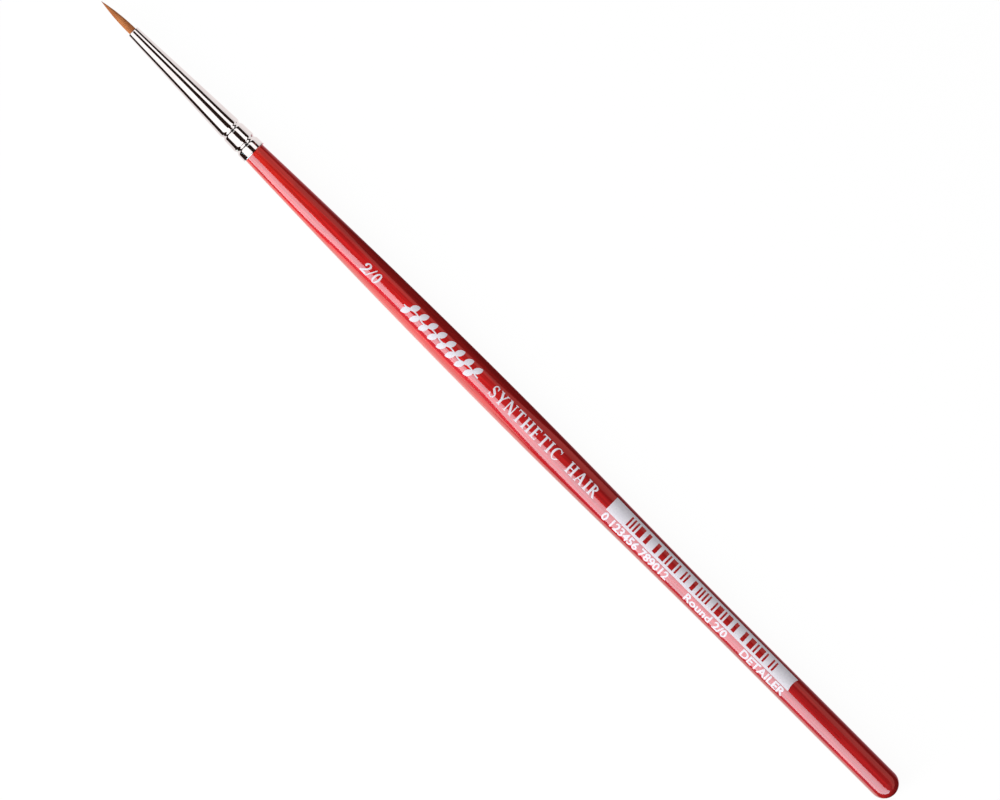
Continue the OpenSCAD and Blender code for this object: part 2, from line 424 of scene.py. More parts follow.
def ferrule_tube():
    """The drawn tube with rolled lips and two smooth crimps, each lip a quarter round."""
    outside = node_outline("ferrule", 1)
    lip_r = outside[1, 0] - outside[0, 0]
    lip_steps = 6
    ring_step = 0.06
    body = outside[1:-1]

    def lip(station, radius, start):
        turns = [math.radians(start - 90 * i / lip_steps) for i in range(lip_steps + 1)]
        return [(station + lip_r * math.cos(t), radius + lip_r * math.sin(t)) for t in turns]

    middle = steps(body[0, 0], body[-1, 0], ring_step)
    skin = list(zip(middle, smooth_curve(body)(middle)))
    front = lip(body[0, 0], body[0, 1] - lip_r, 180)
    back = lip(body[-1, 0], body[-1, 1] - lip_r, 90)
    inner = steps(FERRULE_FROM, FERRULE_TO, ring_step)[::-1]
    inside = list(zip(inner, smooth_curve(node_outline("ferrule", -1))(inner)))
    outline = front[:-1] + skin + back[1:] + inside
    make_piece("ferrule_tube", *turned(outline), NICKEL, "ferrule_metal", ["ferrule"])


# ---- Hair ----

TUFT_R = 0.95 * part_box("hair_tuft")[1].y / MM      # loose hairs lie a little inside the CAD solid
TUFT_CROWN = 2.1            # how full the tuft is: 1 is a cone, and 2 is a parabola
HAIR_ROOT = FERRULE_FROM + 1.6      # the hairs are made up to here, just inside the ferrule
HAIR_SIDES = 6
HAIR_RINGS = 16


def tuft_envelope(station):
    """Outside radius of the tuft: straight in the ferrule, and crowned to its point outside it."""
    u = min(station / FERRULE_FROM, 1.0)
    return TUFT_R * (1 - (1 - u) ** TUFT_CROWN)


def tuft_lean(station):
    """How far the tuft's centre has moved towards +Y: a used point isn't quite straight."""
    at_point, at_mouth, curve = 0.17, 0.03, 1.2
    u = min(station / FERRULE_FROM, 1.0)
    return at_mouth + (at_point - at_mouth) * (1 - u) ** curve


def add_hair(points, faces, turn, share, end, thick, sway):
    """One hair from its root in the ferrule to a fine end; turn and share are its place in the bundle."""
    first = len(points)
    ring_curve = 0.8
    taper_part, taper_curve = 0.4, 0.45
    for k in range(HAIR_RINGS):
        u = k / HAIR_RINGS
        station = HAIR_ROOT + (end - HAIR_ROOT) * u ** ring_curve
        taper = min(1.0, (1 - u) / taper_part) ** taper_curve
        radius = thick * taper
        spread = max(0.0, tuft_envelope(station) - radius) * share
        angle = turn + sway * math.sin(math.pi * u)
        centre_y = spread * math.sin(angle) + tuft_lean(station)
        centre_z = spread * math.cos(angle)
        for j in range(HAIR_SIDES):
            side = 2 * math.pi * j / HAIR_SIDES
            y = centre_y + radius * math.sin(side)
            z = centre_z + radius * math.cos(side)
            points.append(((POINT_X - station) * MM, y * MM, (AXIS_Z + z) * MM))
    spread = tuft_envelope(end) * share
    y = spread * math.sin(turn) + tuft_lean(end)
    z = spread * math.cos(turn)
    points.append(((POINT_X - end) * MM, y * MM, (AXIS_Z + z) * MM))
    tip = len(points) - 1
    faces.append([first + j for j in range(HAIR_SIDES)][::-1])
    for j in range(HAIR_SIDES):
        n = (j + 1) % HAIR_SIDES
        for k in range(HAIR_RINGS - 1):
            a = first + k * HAIR_SIDES
            faces.append((a + j, a + n, a + HAIR_SIDES + n, a + HAIR_SIDES + j))
        last = first + (HAIR_RINGS - 1) * HAIR_SIDES
        faces.append((last + j, last + n, tip))


def tuft_core():
    """Points and faces of the tight middle of the bundle, which fills the gaps between the hairs."""
    fill = 0.9
    core_end = 0.9
    ring_step = 0.4
    stations = steps(core_end, HAIR_ROOT, ring_step)
    skin = [(s, fill * tuft_envelope(s)) for s in stations[1:]]
    points, faces = turned([(core_end, 0.0)] + skin + [(HAIR_ROOT, 0.0)])
    leant = [(x, y + tuft_lean(POINT_X - x / MM) * MM, z) for x, y, z in points]
    return leant, faces


def hair_bundle():
    """Hairs laid parallel in the ferrule that all run to the point, with the longest in the middle."""
    hairs = 300
    longest = 6
    hair_r = 0.046
    golden_angle = math.pi * (3 - math.sqrt(5))
    draw = random.Random(20)
    points, faces = tuft_core()
    for i in range(hairs):
        share = math.sqrt((i + 0.5) / hairs)
        shortfall = 0.0 if i < longest else draw.uniform(0.0, 0.25) + 1.5 * draw.random() ** 3
        thick = hair_r * draw.uniform(0.85, 1.1)
        add_hair(points, faces, i * golden_angle, share, shortfall, thick, draw.uniform(-0.1, 0.1))
    make_piece("hair_bundle", points, faces, HAIR, "hair", ["hair_tuft"])


# ---- Print: a drawing is a field that is negative inside its lines ----

FOIL_T = 0.02               # how far the foil stands above the lacquer
FOIL_SINK = 0.01            # how far it reaches into the lacquer
CELL = 0.05                 # mesh of the grid that a drawing is cut from
LEAST_SHARE = 0.03          # a cut stays at least this share of a cell away from the cell's corners


def cut_sheet(across, up, field):
    """Flat points and faces of a grid, cut along the line where the field is 0."""
    points, index, faces = [], {}, []

    def corner(i, j):
        key = (i, j)
        if key not in index:
            index[key] = len(points)
            points.append((across[i], up[j]))
        return index[key]

    def crossing(i, j, k, m):
        key = (min((i, j), (k, m)), max((i, j), (k, m)))
        if key not in index:
            (a, b), (c, d) = key
            share = field[a, b] / (field[a, b] - field[c, d])
            share = min(max(share, LEAST_SHARE), 1 - LEAST_SHARE)
            index[key] = len(points)
            x = across[a] + share * (across[c] - across[a])
            y = up[b] + share * (up[d] - up[b])
            points.append((x, y))
        return index[key]

    inside = field < 0
    used = inside[:-1, :-1] | inside[1:, :-1] | inside[:-1, 1:] | inside[1:, 1:]
    for i, j in np.argwhere(used):
        ring = [(i, j), (i + 1, j), (i + 1, j + 1), (i, j + 1)]
        face = []
        for here, there in zip(ring, ring[1:] + ring[:1]):
            if inside[here]:
                face.append(corner(*here))
            if inside[here] != inside[there]:
                face.append(crossing(*here, *there))
        faces.append(face)
    return points, faces


def stamp(name, stations, angles, field, stands_for=()):
    """A closed film of foil on the handle, where the field over stations and angles is negative."""
    flat, faces = cut_sheet(stations, angles, field)
    count = len(flat)
    radii = handle_r(np.array(flat)[:, 0])
    low = [place(s, a, r - FOIL_SINK) for (s, a), r in zip(flat, radii)]
    high = [place(s, a, r + FOIL_T) for (s, a), r in zip(flat, radii)]
    edges = {(f[k], f[(k + 1) % len(f)]) for f in faces for k in range(len(f))}
    walls = [(a, b, b + count, a + count) for a, b in sorted(edges) if (b, a) not in edges]
    tops = [[v + count for v in f] for f in faces]
    bottoms = [f[::-1] for f in faces]
    make_piece(name, low + high, bottoms + tops + walls, FOIL, "white_foil", stands_for)


def stamp_drawing(name, draw, start, length, height, foot, head, stands_for=()):
    """Stamps a drawing of x from 0 to length and y from 0 to height; y runs from angle foot to head."""
    margin = 2 * CELL
    x = steps(-margin, length + margin, CELL)
    y = steps(-margin, height + margin, CELL)
    field = draw(*np.meshgrid(x, y, indexing="ij"))
    stamp(name, start + x, foot + (head - foot) * y / height, field, stands_for)


def bar(x, y, start, end, width):
    """A straight stroke with square ends."""
    dx, dy = end[0] - start[0], end[1] - start[1]
    length = math.hypot(dx, dy)
    along = ((x - start[0]) * dx + (y - start[1]) * dy) / length
    aside = np.abs((y - start[1]) * dx - (x - start[0]) * dy) / length
    return np.maximum(aside - width / 2, np.maximum(-along, along - length))


def bow(x, y, centre, radii, side, top):
    """An oval stroke with one width at its sides and another at its top and foot."""
    (cx, cy), (rx, ry) = centre, radii
    outer = (np.hypot((x - cx) / rx, (y - cy) / ry) - 1) * min(rx, ry)
    inner = (np.hypot((x - cx) / (rx - side), (y - cy) / (ry - top)) - 1) * min(rx - side, ry - top)
    return np.maximum(outer, -inner)


def join(*fields):
    """One drawing that holds all of these."""
    return np.minimum.reduce(fields)


def cut_away(field, area):
    """The drawing without what lies in the area."""
    removed, kept = 0.05, -1
    return np.maximum(field, np.where(area, removed, kept))


# Serif capitals, drawn 1 high. Each returns its field; LETTER_W holds the width that it takes.
THICK = 0.185
THIN = 0.095
SERIF = 0.06
TICK = 0.05
LETTER_W = {"S": 0.62, "Y": 0.84, "N": 0.88, "T": 0.78, "H": 0.88, "E": 0.70, "I": 0.36, "C": 0.84,
            "A": 0.86, "R": 0.80, " ": 0.62}


def serif(x, y, at, end, width):
    """A short flat serif with its middle above at, on the foot (0) or the head (1) of a letter."""
    level = SERIF / 2 if end == 0 else 1 - SERIF / 2
    return bar(x, y, (at - width / 2, level), (at + width / 2, level), SERIF)


def tick(x, y, at, foot, head):
    """A thin upright tick at the end of an arm."""
    return bar(x, y, (at, foot), (at, head), TICK)


def stem(x, y, at, width=THICK):
    """An upright stroke with a serif at its foot and at its head."""
    reach = width + 0.17
    return join(bar(x, y, (at, 0), (at, 1), width), serif(x, y, at, 0, reach), serif(x, y, at, 1, reach))


def letter_s(x, y):
    upper = bow(x, y, (0.31, 0.745), (0.25, 0.275), 0.11, 0.075)
    lower = bow(x, y, (0.31, 0.265), (0.28, 0.285), 0.11, 0.075)
    upper = np.maximum(upper, np.minimum(x - 0.31, 0.745 - y))
    upper = cut_away(upper, (x > 0.5) & (y < 0.83))
    lower = np.maximum(lower, np.minimum(0.31 - x, y - 0.265))
    lower = cut_away(lower, (x < 0.12) & (y > 0.17))
    spine = bar(x, y, (0.13, 0.64), (0.49, 0.38), THICK)
    ticks = join(tick(x, y, 0.52, 0.72, 0.98), tick(x, y, 0.07, 0.02, 0.30))
    return join(upper, lower, spine, ticks)


def letter_y(x, y):
    arms = join(bar(x, y, (0.14, 0.98), (0.42, 0.45), THICK), bar(x, y, (0.70, 0.98), (0.44, 0.45), THIN))
    heads = join(serif(x, y, 0.14, 1, 0.32), serif(x, y, 0.70, 1, 0.26))
    return join(arms, heads, bar(x, y, (0.42, 0), (0.42, 0.5), THICK), serif(x, y, 0.42, 0, 0.34))


def letter_n(x, y):
    posts = join(stem(x, y, 0.14, THIN), stem(x, y, 0.74, THIN))
    return join(posts, bar(x, y, (0.17, 0.97), (0.71, 0.03), THICK))


def letter_t(x, y):
    top = bar(x, y, (0.06, 1 - THIN / 2), (0.72, 1 - THIN / 2), THIN)
    ticks = join(tick(x, y, 0.08, 0.80, 1), tick(x, y, 0.70, 0.80, 1))
    return join(top, ticks, bar(x, y, (0.39, 0), (0.39, 1), THICK), serif(x, y, 0.39, 0, 0.34))


def letter_h(x, y):
    return join(stem(x, y, 0.19), stem(x, y, 0.69), bar(x, y, (0.19, 0.5), (0.69, 0.5), THIN))


def letter_e(x, y):
    arms = [bar(x, y, (0.1, level), (reach, level), THIN)
            for level, reach in ((THIN / 2, 0.62), (0.5, 0.48), (1 - THIN / 2, 0.60))]
    ticks = [tick(x, y, 0.61, 0, 0.22), tick(x, y, 0.59, 0.80, 1), tick(x, y, 0.47, 0.40, 0.60)]
    return join(stem(x, y, 0.19), *arms, *ticks)


def letter_i(x, y):
    return stem(x, y, 0.18)


def letter_c(x, y):
    round_part = bow(x, y, (0.45, 0.5), (0.42, 0.52), THICK, 0.07)
    opening = np.minimum(x - 0.62, 0.33 - np.abs(y - 0.5))
    lower_end = bar(x, y, (0.62, 0.06), (0.77, 0.24), THIN)
    return join(np.maximum(round_part, opening), tick(x, y, 0.74, 0.70, 0.98), lower_end)


def letter_a(x, y):
    legs = join(bar(x, y, (0.40, 1), (0.13, 0.02), THIN), bar(x, y, (0.42, 1), (0.71, 0.02), THICK))
    feet = join(serif(x, y, 0.13, 0, 0.26), serif(x, y, 0.71, 0, 0.32))
    return join(legs, feet, bar(x, y, (0.22, 0.33), (0.62, 0.33), THIN))


def letter_r(x, y):
    loop = np.maximum(bow(x, y, (0.30, 0.745), (0.33, 0.255), THICK * 0.9, THIN), 0.19 - x)
    leg = bar(x, y, (0.36, 0.5), (0.68, 0.02), THICK * 0.9)
    return join(stem(x, y, 0.19), loop, leg, serif(x, y, 0.69, 0, 0.24))


LETTERS = {"S": letter_s, "Y": letter_y, "N": letter_n, "T": letter_t, "H": letter_h, "E": letter_e,
           "I": letter_i, "C": letter_c, "A": letter_a, "R": letter_r}


def serif_words(text, length, height):
    """A drawing of a line of serif capitals spread over the length."""
    total = sum(LETTER_W[c] for c in text)
    gap = (length / height - total) / (len(text) - 1)

    def draw(x, y):
        fields, at = [np.full(x.shape, 1.0)], 0.0
        for c in text:
            if c in LETTERS:
                fields.append(LETTERS[c](x / height - at, y / height))
            at += LETTER_W[c] + gap
        return join(*fields) * height

    return draw


def text_segments(text):
    """The outlines of a line of plain sans-serif text, as rows of a straight piece's two ends."""
    curve = bpy.data.curves.new("plain_text", "FONT")
    curve.body = text
    curve.fill_mode = "NONE"
    curve.resolution_u = 4
    carrier = bpy.data.objects.new("plain_text", curve)
    bpy.context.scene.collection.objects.link(carrier)
    bpy.context.view_layer.update()
    shape = carrier.evaluated_get(bpy.context.evaluated_depsgraph_get()).to_mesh()
    corners = np.array([v.co[:2] for v in shape.vertices])
    rows = np.array([(*corners[a], *corners[b]) for a, b in (e.vertices for e in shape.edges)])
    bpy.data.objects.remove(carrier)
    bpy.data.curves.remove(curve)
    return rows


def plain_text(text, length, height, bold):
    """A drawing of plain text that fills the length and the height, its strokes thickened by bold."""
    rows = text_segments(text)
    low = rows[:, :2].min(0)
    size = rows[:, :2].max(0) - low
    rows = (rows - np.tile(low, 2)) / np.tile(size, 2)
    rows = rows * np.tile([length - 2 * bold, height - 2 * bold], 2) + bold

    def draw(x, y):
        nearest = np.full(x.shape, 1e9)
        inside = np.zeros(x.shape, bool)
        for x0, y0, x1, y1 in rows:
            dx, dy = x1 - x0, y1 - y0
            long = max(dx * dx + dy * dy, 1e-12)
            along = np.clip(((x - x0) * dx + (y - y0) * dy) / long, 0, 1)
            nearest = np.minimum(nearest, np.hypot(x - x0 - along * dx, y - y0 - along * dy))
            if y0 != y1:
                crosses = (y0 > y) != (y1 > y)
                inside ^= crosses & (x < x0 + (y - y0) * dx / dy)
        return np.where(inside, -nearest, nearest) - bold

    return draw


def size_figures(height):
    """A drawing of the size 2/0 in bold slanted figures."""
    stroke = 0.17 * height
    r = 0.29 * height
    slant = 0.12

    def draw(x, y):
        x = x - slant * y
        ring = bow(x, y, (r, height - r), (r, r), stroke, stroke * 0.6)
        hook = np.maximum(ring, np.minimum(r - x, height - 1.05 * r - y))
        hook = np.maximum(hook, np.minimum(height - 1.5 * r - y, 2 * r - x))
        slope = bar(x, y, (1.65 * r, 0.56 * height), (0.3 * r, 0.10 * height), stroke * 0.9)
        foot = bar(x, y, (0, stroke * 0.5), (2.05 * r, stroke * 0.5), stroke)
        bead = np.hypot(x - 0.36 * r, y - 0.70 * height) - 0.546 * stroke
        slash = bar(x, y, (0.66 * height, 0), (1.02 * height, height), stroke * 0.55)
        nought = bow(x, y, (1.44 * height, height / 2), (r, height / 2), stroke, stroke * 0.5)
        return join(hook, slope, foot, bead, slash, nought)

    return draw


def leaf_ornament(length, height):
    """A drawing of a wavy stem with slanted leaves above and below it."""
    leaves, leaf_l, leaf_w, slant = 8, 1.75, 0.97, math.radians(54)
    stem_w, wave, stem_gap = 0.2, 0.16, 0.1
    first, inset = 1.3, 0.15
    pitch = (length - 2 * first) / (leaves - 1)
    disc_r = (leaf_l ** 2 + leaf_w ** 2) / (4 * leaf_w)     # a leaf is where two discs overlap
    offset = disc_r - leaf_w / 2

    def draw(x, y):
        y = y - height / 2
        stem_line = np.abs(y - wave * np.sin(np.pi * (x - first) / pitch)) - stem_w / 2
        fields = [np.maximum(stem_line, np.maximum(stem_gap - x, x - length + stem_gap))]
        for i in range(leaves):
            for turn in (slant, slant + math.pi):
                dx, dy = x - first - i * pitch, y
                along = dx * math.cos(turn) + dy * math.sin(turn) + inset - leaf_l / 2
                aside = -dx * math.sin(turn) + dy * math.cos(turn)
                above = np.hypot(along, aside - offset) - disc_r
                below = np.hypot(along, aside + offset) - disc_r
                fields.append(np.maximum(above, below))
        return join(*fields)

    return draw


# The striped patch repeats the CAD node's angles and its rule for the widths of its stripes and gaps.
STRIPES = 29
STRIPE_MODULE = 0.33
STRIPE_MARGIN = 3.72
STRIPE_GUARD = 3
PATCH_LOW, PATCH_HIGH = -54.2, 10.2
STRIPE_LOW, STRIPE_HIGH = -42.5, 0.0


def stripe_width(i):
    """How many modules wide a stripe (even i) or a gap (odd i) is."""
    last = 2 * STRIPES - 2
    if i < STRIPE_GUARD or i > last - STRIPE_GUARD or abs(i - last // 2) < STRIPE_GUARD:
        return 1
    return 1 + (7 * i * i + 10 * i) % 17 % 4


def striped_patch():
    """The white patch with its windows, and a rear edge that bows forward by the sag in its middle."""
    start, end = station_span("striped_patch_foil")
    edges = [start + STRIPE_MARGIN]
    for i in range(2 * STRIPES - 1):
        edges.append(edges[-1] + STRIPE_MODULE * stripe_width(i))
    sag = 0.25

    # The grid has two lines close to each straight edge, so that the cut between them is sharp.
    nick = 0.004
    nick_degrees = 0.1
    angle_step = 2.5
    lines = [line + d for line in [start] + edges for d in (-nick, nick)]
    lines += list(steps(start + 0.5, edges[0] - 0.4, 0.8))
    lines += list(steps(edges[-1] + 0.4, end + 0.2, 0.12))
    bends = [bend + d for bend in (PATCH_LOW, STRIPE_LOW, STRIPE_HIGH, PATCH_HIGH)
             for d in (-nick_degrees, nick_degrees)]
    bends += list(steps(PATCH_LOW + 1.5, STRIPE_LOW - 1.5, angle_step))
    bends += list(steps(STRIPE_LOW + 2, STRIPE_HIGH - 2, angle_step))
    bends += list(steps(STRIPE_HIGH + 1.5, PATCH_HIGH - 1.5, angle_step))
    stations = np.array(sorted(lines))
    angles = np.array(sorted(bends))

    s, a = np.meshgrid(stations, angles, indexing="ij")
    middle, half = (PATCH_LOW + PATCH_HIGH) / 2, (PATCH_HIGH - PATCH_LOW) / 2
    rear = end - sag * (1 - ((a - middle) / half) ** 2)
    per_degree = 0.04           # millimetres to a degree, so that the field is a length throughout
    field = np.maximum(start - s, s - rear)
    field = np.maximum(field, per_degree * np.maximum(PATCH_LOW - a, a - PATCH_HIGH))
    for i in range(STRIPES):
        window = np.maximum(edges[2 * i] - s, s - edges[2 * i + 1])
        window = np.maximum(window, per_degree * np.maximum(STRIPE_LOW - a, a - STRIPE_HIGH))
        field = np.maximum(field, -window)
    stamp("striped_patch", stations, angles, field, ["striped_patch_foil"])


def size_mark():
    """The size number near the ferrule."""
    start = station_span("size_mark_foil")[0]
    length, height = 3.6, 1.95
    foot, head = 29, -13.6
    stamp_drawing("size_mark", size_figures(height), start, length, height, foot, head, ["size_mark_foil"])


def leaf_line():
    """The leaf ornament, which reaches a little past its CAD node at both ends."""
    start, end = station_span("leaf_ornament_foil")
    past, height, half_angle = 0.1, 2.8, 31
    length = end - start + 2 * past
    stamp_drawing("leaf_ornament", leaf_ornament(length, height), start - past, length, height,
                  half_angle, -half_angle, ["leaf_ornament_foil"])


def word_line():
    """The words between the ornament and the patch."""
    gap, length, height = 2.6, 22.6, 1.9
    start = station_span("leaf_ornament_foil")[1] + gap
    foot, head = 16.5, -25.2
    words = serif_words("SYNTHETIC HAIR", length, height)
    stamp_drawing("word_line", words, start, length, height, foot, head)


def patch_lines():
    """The plain text in a row beside the patch: its number, the size and a word."""
    patch_from, patch_to = station_span("striped_patch_foil")
    height, bold = 1.45, 0.055
    foot, head = 48.2, 13.6
    texts = (
        ("number_line", "0 123456 789012", patch_from + 0.2, 13.7),
        ("size_line", "Round 2/0", patch_from + 17.7, 8.7),
        ("detail_line", "DETAILER", patch_to - 9.2, 9.0),
    )
    for name, text, start, length in texts:
        stamp_drawing(name, plain_text(text, length, height, bold), start, length, height, foot, head)


# ---- Stage: floor, cards and lights ----

def emitter(name, colour):
    """A light-giving material for a card; its strength at each point is the mesh's glow there."""
    material = bpy.data.materials.new(name)
    material.use_nodes = True
    tree = material.node_tree
    tree.nodes.clear()
    glow = add_node(tree, "ShaderNodeAttribute", attribute_name="glow")
    light = add_node(
        tree, "ShaderNodeEmission", links={"Strength": glow.outputs["Fac"]}, values={"Color": rgb(*colour)}
    )
    out = add_node(tree, "ShaderNodeOutputMaterial", links={"Surface": light.outputs["Emission"]})
    out.is_active_output = True
    material.cycles.emission_sampling = "NONE"
    return material


def card(name, rows, glows, colour, point_at):
    """A sheet that only reflections see. A row holds a place along the card and its two edges there, as
    point_at takes them. Glows hold a share of the way from the first edge to the second, and the
    strength there."""
    row_cuts, edge_cuts = 8, 32
    fine_rows = []
    for (x0, a0, b0), (x1, a1, b1) in zip(rows, rows[1:]):
        for u in np.linspace(0, 1, row_cuts + 1)[:-1]:
            fine_rows.append((x0 + (x1 - x0) * u, a0 + (a1 - a0) * u, b0 + (b1 - b0) * u))
    fine_rows.append(rows[-1])
    points, faces, strengths = [], [], []
    shares = np.linspace(0, 1, edge_cuts + 1)
    for x, a, b in fine_rows:
        for share in shares:
            points.append(point_at(x, a + (b - a) * share))
            strengths.append(float(np.interp(share, *zip(*glows))))
    wide = len(shares)
    for i in range(len(fine_rows) - 1):
        for j in range(wide - 1):
            k = i * wide + j
            faces.append((k, k + 1, k + wide + 1, k + wide))
    mesh = bpy.data.meshes.new(name)
    mesh.from_pydata(points, [], faces)
    mesh.materials.append(emitter(name, colour))
    glow = mesh.attributes.new("glow", "FLOAT", "POINT")
    glow.data.foreach_set("value", strengths)
    made = bpy.data.objects.new(name, mesh)
    bpy.context.scene.collection.objects.link(made)
    for ray in ("camera", "diffuse", "shadow", "transmission", "volume_scatter"):
        setattr(made, "visible_" + ray, False)


# The cards over the brush lie on a tent, which is round and has the brush's axis. From the joint of ferrule
# and handle a curtain leans up to the tent, and parts the cards for the metal from those for the lacquer.
TENT_R = 40.0               # distance of the tent from the axis
CEILING_R = 400.0           # distance of the one card that is much further off
JOINT_X = POINT_X - FERRULE_TO - 0.1        # foot of the curtain, just behind the ferrule's rear edge
JOINT_LEAN = 0.121          # how far the curtain leans ahead for each millimetre from the axis
TABLE_LEAN = 0.107          # how far the table's cards are moved ahead for each millimetre aside
FERRULE_X = JOINT_X + JOINT_LEAN * TENT_R   # where the curtain meets the tent
TABLE_JOINT_X = JOINT_X - 0.05              # where the table's cards for handle and ferrule meet
ROUND_END_X = POINT_X - TOTAL_L - 1         # just beyond the round end
FAR = 220.0                 # where a card that only has to be long enough ends
WHITE = (1, 1, 1)
WARM_WHITE = (1, 0.96, 0.96)


def even(strength):
    """The glow of a card that is equally bright all over."""
    return [(0, strength), (1, strength)]


def round_point(x, radius, angle):
    """A point round the axis whose light comes in at this angle where the brush reflects it upwards."""
    mean_r = 2.2
    seen = math.radians(angle) - mean_r / radius * math.sin(math.radians(angle / 2))
    return Vector((x, radius * math.sin(seen), AXIS_Z + radius * math.cos(seen))) * MM


def tent_point(x, angle):
    """A point on the tent."""
    return round_point(x, TENT_R, angle)


def ferrule_point(reach, angle):
    """A point on the curtain, or, where its reach passes the tent's radius, on the tent ahead of it."""
    radius = min(reach, TENT_R)
    return round_point(JOINT_X + JOINT_LEAN * radius + reach - radius, radius, angle)


def before_curtain(reach, angle):
    """A point ahead of the curtain that leans less, so that the metal next to the joint misses it."""
    gap, lean = 0.05, 0.1
    return round_point(JOINT_X + gap + lean * reach, reach, angle)


def behind_curtain(reach, angle):
    """A point just behind the curtain."""
    gap = 0.05
    return round_point(JOINT_X - gap + JOINT_LEAN * reach, reach, angle)


def ceiling_point(ahead, angle):
    """A point so far above the brush that only steep faces of the metal reflect it."""
    return round_point(JOINT_X + ahead, CEILING_R, angle)


def table_point(x, y):
    """A point just under the table's face, moved ahead with its distance aside."""
    depth = 0.05
    return ((x + TABLE_LEAN * abs(y)) * MM, y * MM, -depth * MM)


def upright_point(x):
    """A function for the points of an upright card that stands across the brush at x."""
    def point_at(height, y):
        return (x * MM, y * MM, height * MM)

    return point_at


def glint_point(x, height):
    """A point on an upright card beside the round end."""
    aside = -88
    return (x * MM, aside * MM, height * MM)


def from_stations(rows):
    """The same rows with X in place of the station."""
    return [(POINT_X - s, a, b) for s, a, b in rows]


def window_cards():
    """The long bright window on the handle, less blue towards the round end."""
    near = POINT_X - FERRULE_X
    far = POINT_X + FAR
    front = [(near, 23, 93), (32, 23, 90), (39, 22, 89), (44, 22, 84), (47, 20, 73), (50, 18, 66),
             (57, 15, 56), (60, 14, 52), (66, 13, 50), (83, 12, 51)]
    middle = [(83, 12, 51), (88, 12, 63), (92, 11, 72), (97, 11, 81)]
    rear = [(97, 11, 81), (110, 13, 86), (136, 17, 90), (150, 18, 87), (171, 18, 85), (far, 18, 85)]
    glow = [(0, 2.05), (0.5, 3.0), (0.72, 2.6), (0.80, 3.4), (0.88, 2.9), (1, 3.3)]
    for part, rows, red in (("front", front, 0.62), ("middle", middle, 0.76), ("rear", rear, 0.9)):
        card("window_" + part + "_card", from_stations(rows), glow, (red, 1.05, 1.16), tent_point)


def handle_wall_cards():
    """The side wall and the bluish gap below the window, and the dim warm wall across from it."""
    near = POINT_X - FERRULE_X
    far = POINT_X + FAR
    side = [(48, 94, 98), (51, 86, 100), (57, 78, 100), (62, 72, 100), (83, 72, 100), (90, 88, 100),
            (95, 97, 98)]
    side_glow = [(0, 0.35), (0.25, 0.95), (1, 1.2)]
    card("side_card", from_stations(side), side_glow, (1.0, 1.0, 0.95), tent_point)
    gap = [(near, 93, 109), (39, 89, 110), (44, 84, 104), (47, 73, 95), (50, 66, 88), (57, 56, 78),
           (60, 52, 73), (83, 51, 72), (92, 72, 90), (110, 86, 102), (136, 90, 106), (171, 85, 104)]
    card("gap_card", from_stations(gap), [(0, 0.16), (1, 0.12)], (0.5, 0.7, 1.6), tent_point)
    wall = [(near, -90, -24), (39, -88, -36), (46, -88, -42), (53, -70, -42), (58, -63, -34),
            (69, -61, -38), (83, -66, -42), (91, -86, -48), (97, -100, -52), (109, -107, -54),
            (136, -90, -46), (171, -86, -43), (far, -86, -43)]
    wall_glow = [(0, 0.21), (0.15, 0.42), (0.8, 0.34), (1, 0.18)]
    card("warm_wall_card", from_stations(wall), wall_glow, (2.4, 0.62, 0.55), tent_point)


def ferrule_cards():
    """The white walls and dark gaps that show in the metal, and the cards that its crimps reflect."""
    near, end = 2.8, TENT_R + 70
    bright = even(1.35)
    left = [(near, -54, -27), (TENT_R, -54, -26), (TENT_R + 3, -50, -24), (TENT_R + 7, -47, -23),
            (TENT_R + 14, -50, -23), (end, -49, -24)]
    card("left_wall_card", left, bright, WHITE, ferrule_point)
    right = [(near, 5, 71), (TENT_R, 6, 72), (TENT_R + 4, 13, 76), (TENT_R + 7, 14, 75),
             (TENT_R + 12, 12, 74), (TENT_R + 18, 10, 75), (TENT_R + 24, 14, 79), (end, 14, 79)]
    card("right_wall_card", right, bright, WHITE, ferrule_point)
    rim = [(near, -122, -77), (TENT_R, -96, -77), (TENT_R + 9, -95, -78), (TENT_R + 14, -95, -81),
           (TENT_R + 24, -95, -86), (end, -95, -86)]
    card("rim_card", rim, even(0.9), WARM_WHITE, ferrule_point)
    card("ceiling_card", [(100, -50, 20), (260, -50, 20)], bright, WHITE, ceiling_point)
    card("crimp_card", [(9, -54, 6), (20, -54, 6)], bright, WHITE, before_curtain)
    dark = [(2.4, -125, 125), (TENT_R + 3, -125, 125)]
    card("dark_card", dark, even(0.02), (1.2, 0.6, 0.5), behind_curtain)


def table_cards():
    """What the underside of the brush sees of the table: pale under the ferrule and on the handle's
    +Y side, and darker away from the handle on its -Y side."""
    ferrule = [(TABLE_JOINT_X, -FAR, 7), (JOINT_X + 1.5, -FAR, 7), (JOINT_X + 2.2, -FAR, 11.2),
               (JOINT_X + 6, -FAR, 9.9), (JOINT_X + 14, -FAR, 9.4), (JOINT_X + 24, -FAR, 5.5),
               (FAR, -FAR, 5.5)]
    card("ferrule_table_card", ferrule, [(0, 0.95), (1, 1.0)], WARM_WHITE, table_point)
    plus = [(ROUND_END_X, 0, 12), (-12, 0, 12), (-4, 0, 20), (2, 0, 60), (28, 0, 60), (34, 0, 20),
            (40, 0, 12), (TABLE_JOINT_X, 0, 12)]
    plus_glow = [(0, 1.3), (0.5, 1.0), (1, 0.8)]
    card("handle_table_card", plus, plus_glow, (0.95, 1.12, 1.06), table_point)
    minus = [(ROUND_END_X, -13.5, 0), (-28, -11, 0), (-12, -8, 0), (0, -6, 0), (28, -6, 0),
             (38, -13, 0), (TABLE_JOINT_X, -18, 0)]
    minus_glow = [(0, 0.0), (0.45, 0.2), (0.8, 0.76), (1, 0.9)]
    card("handle_shade_card", minus, minus_glow, (1.15, 0.6, 0.68), table_point)


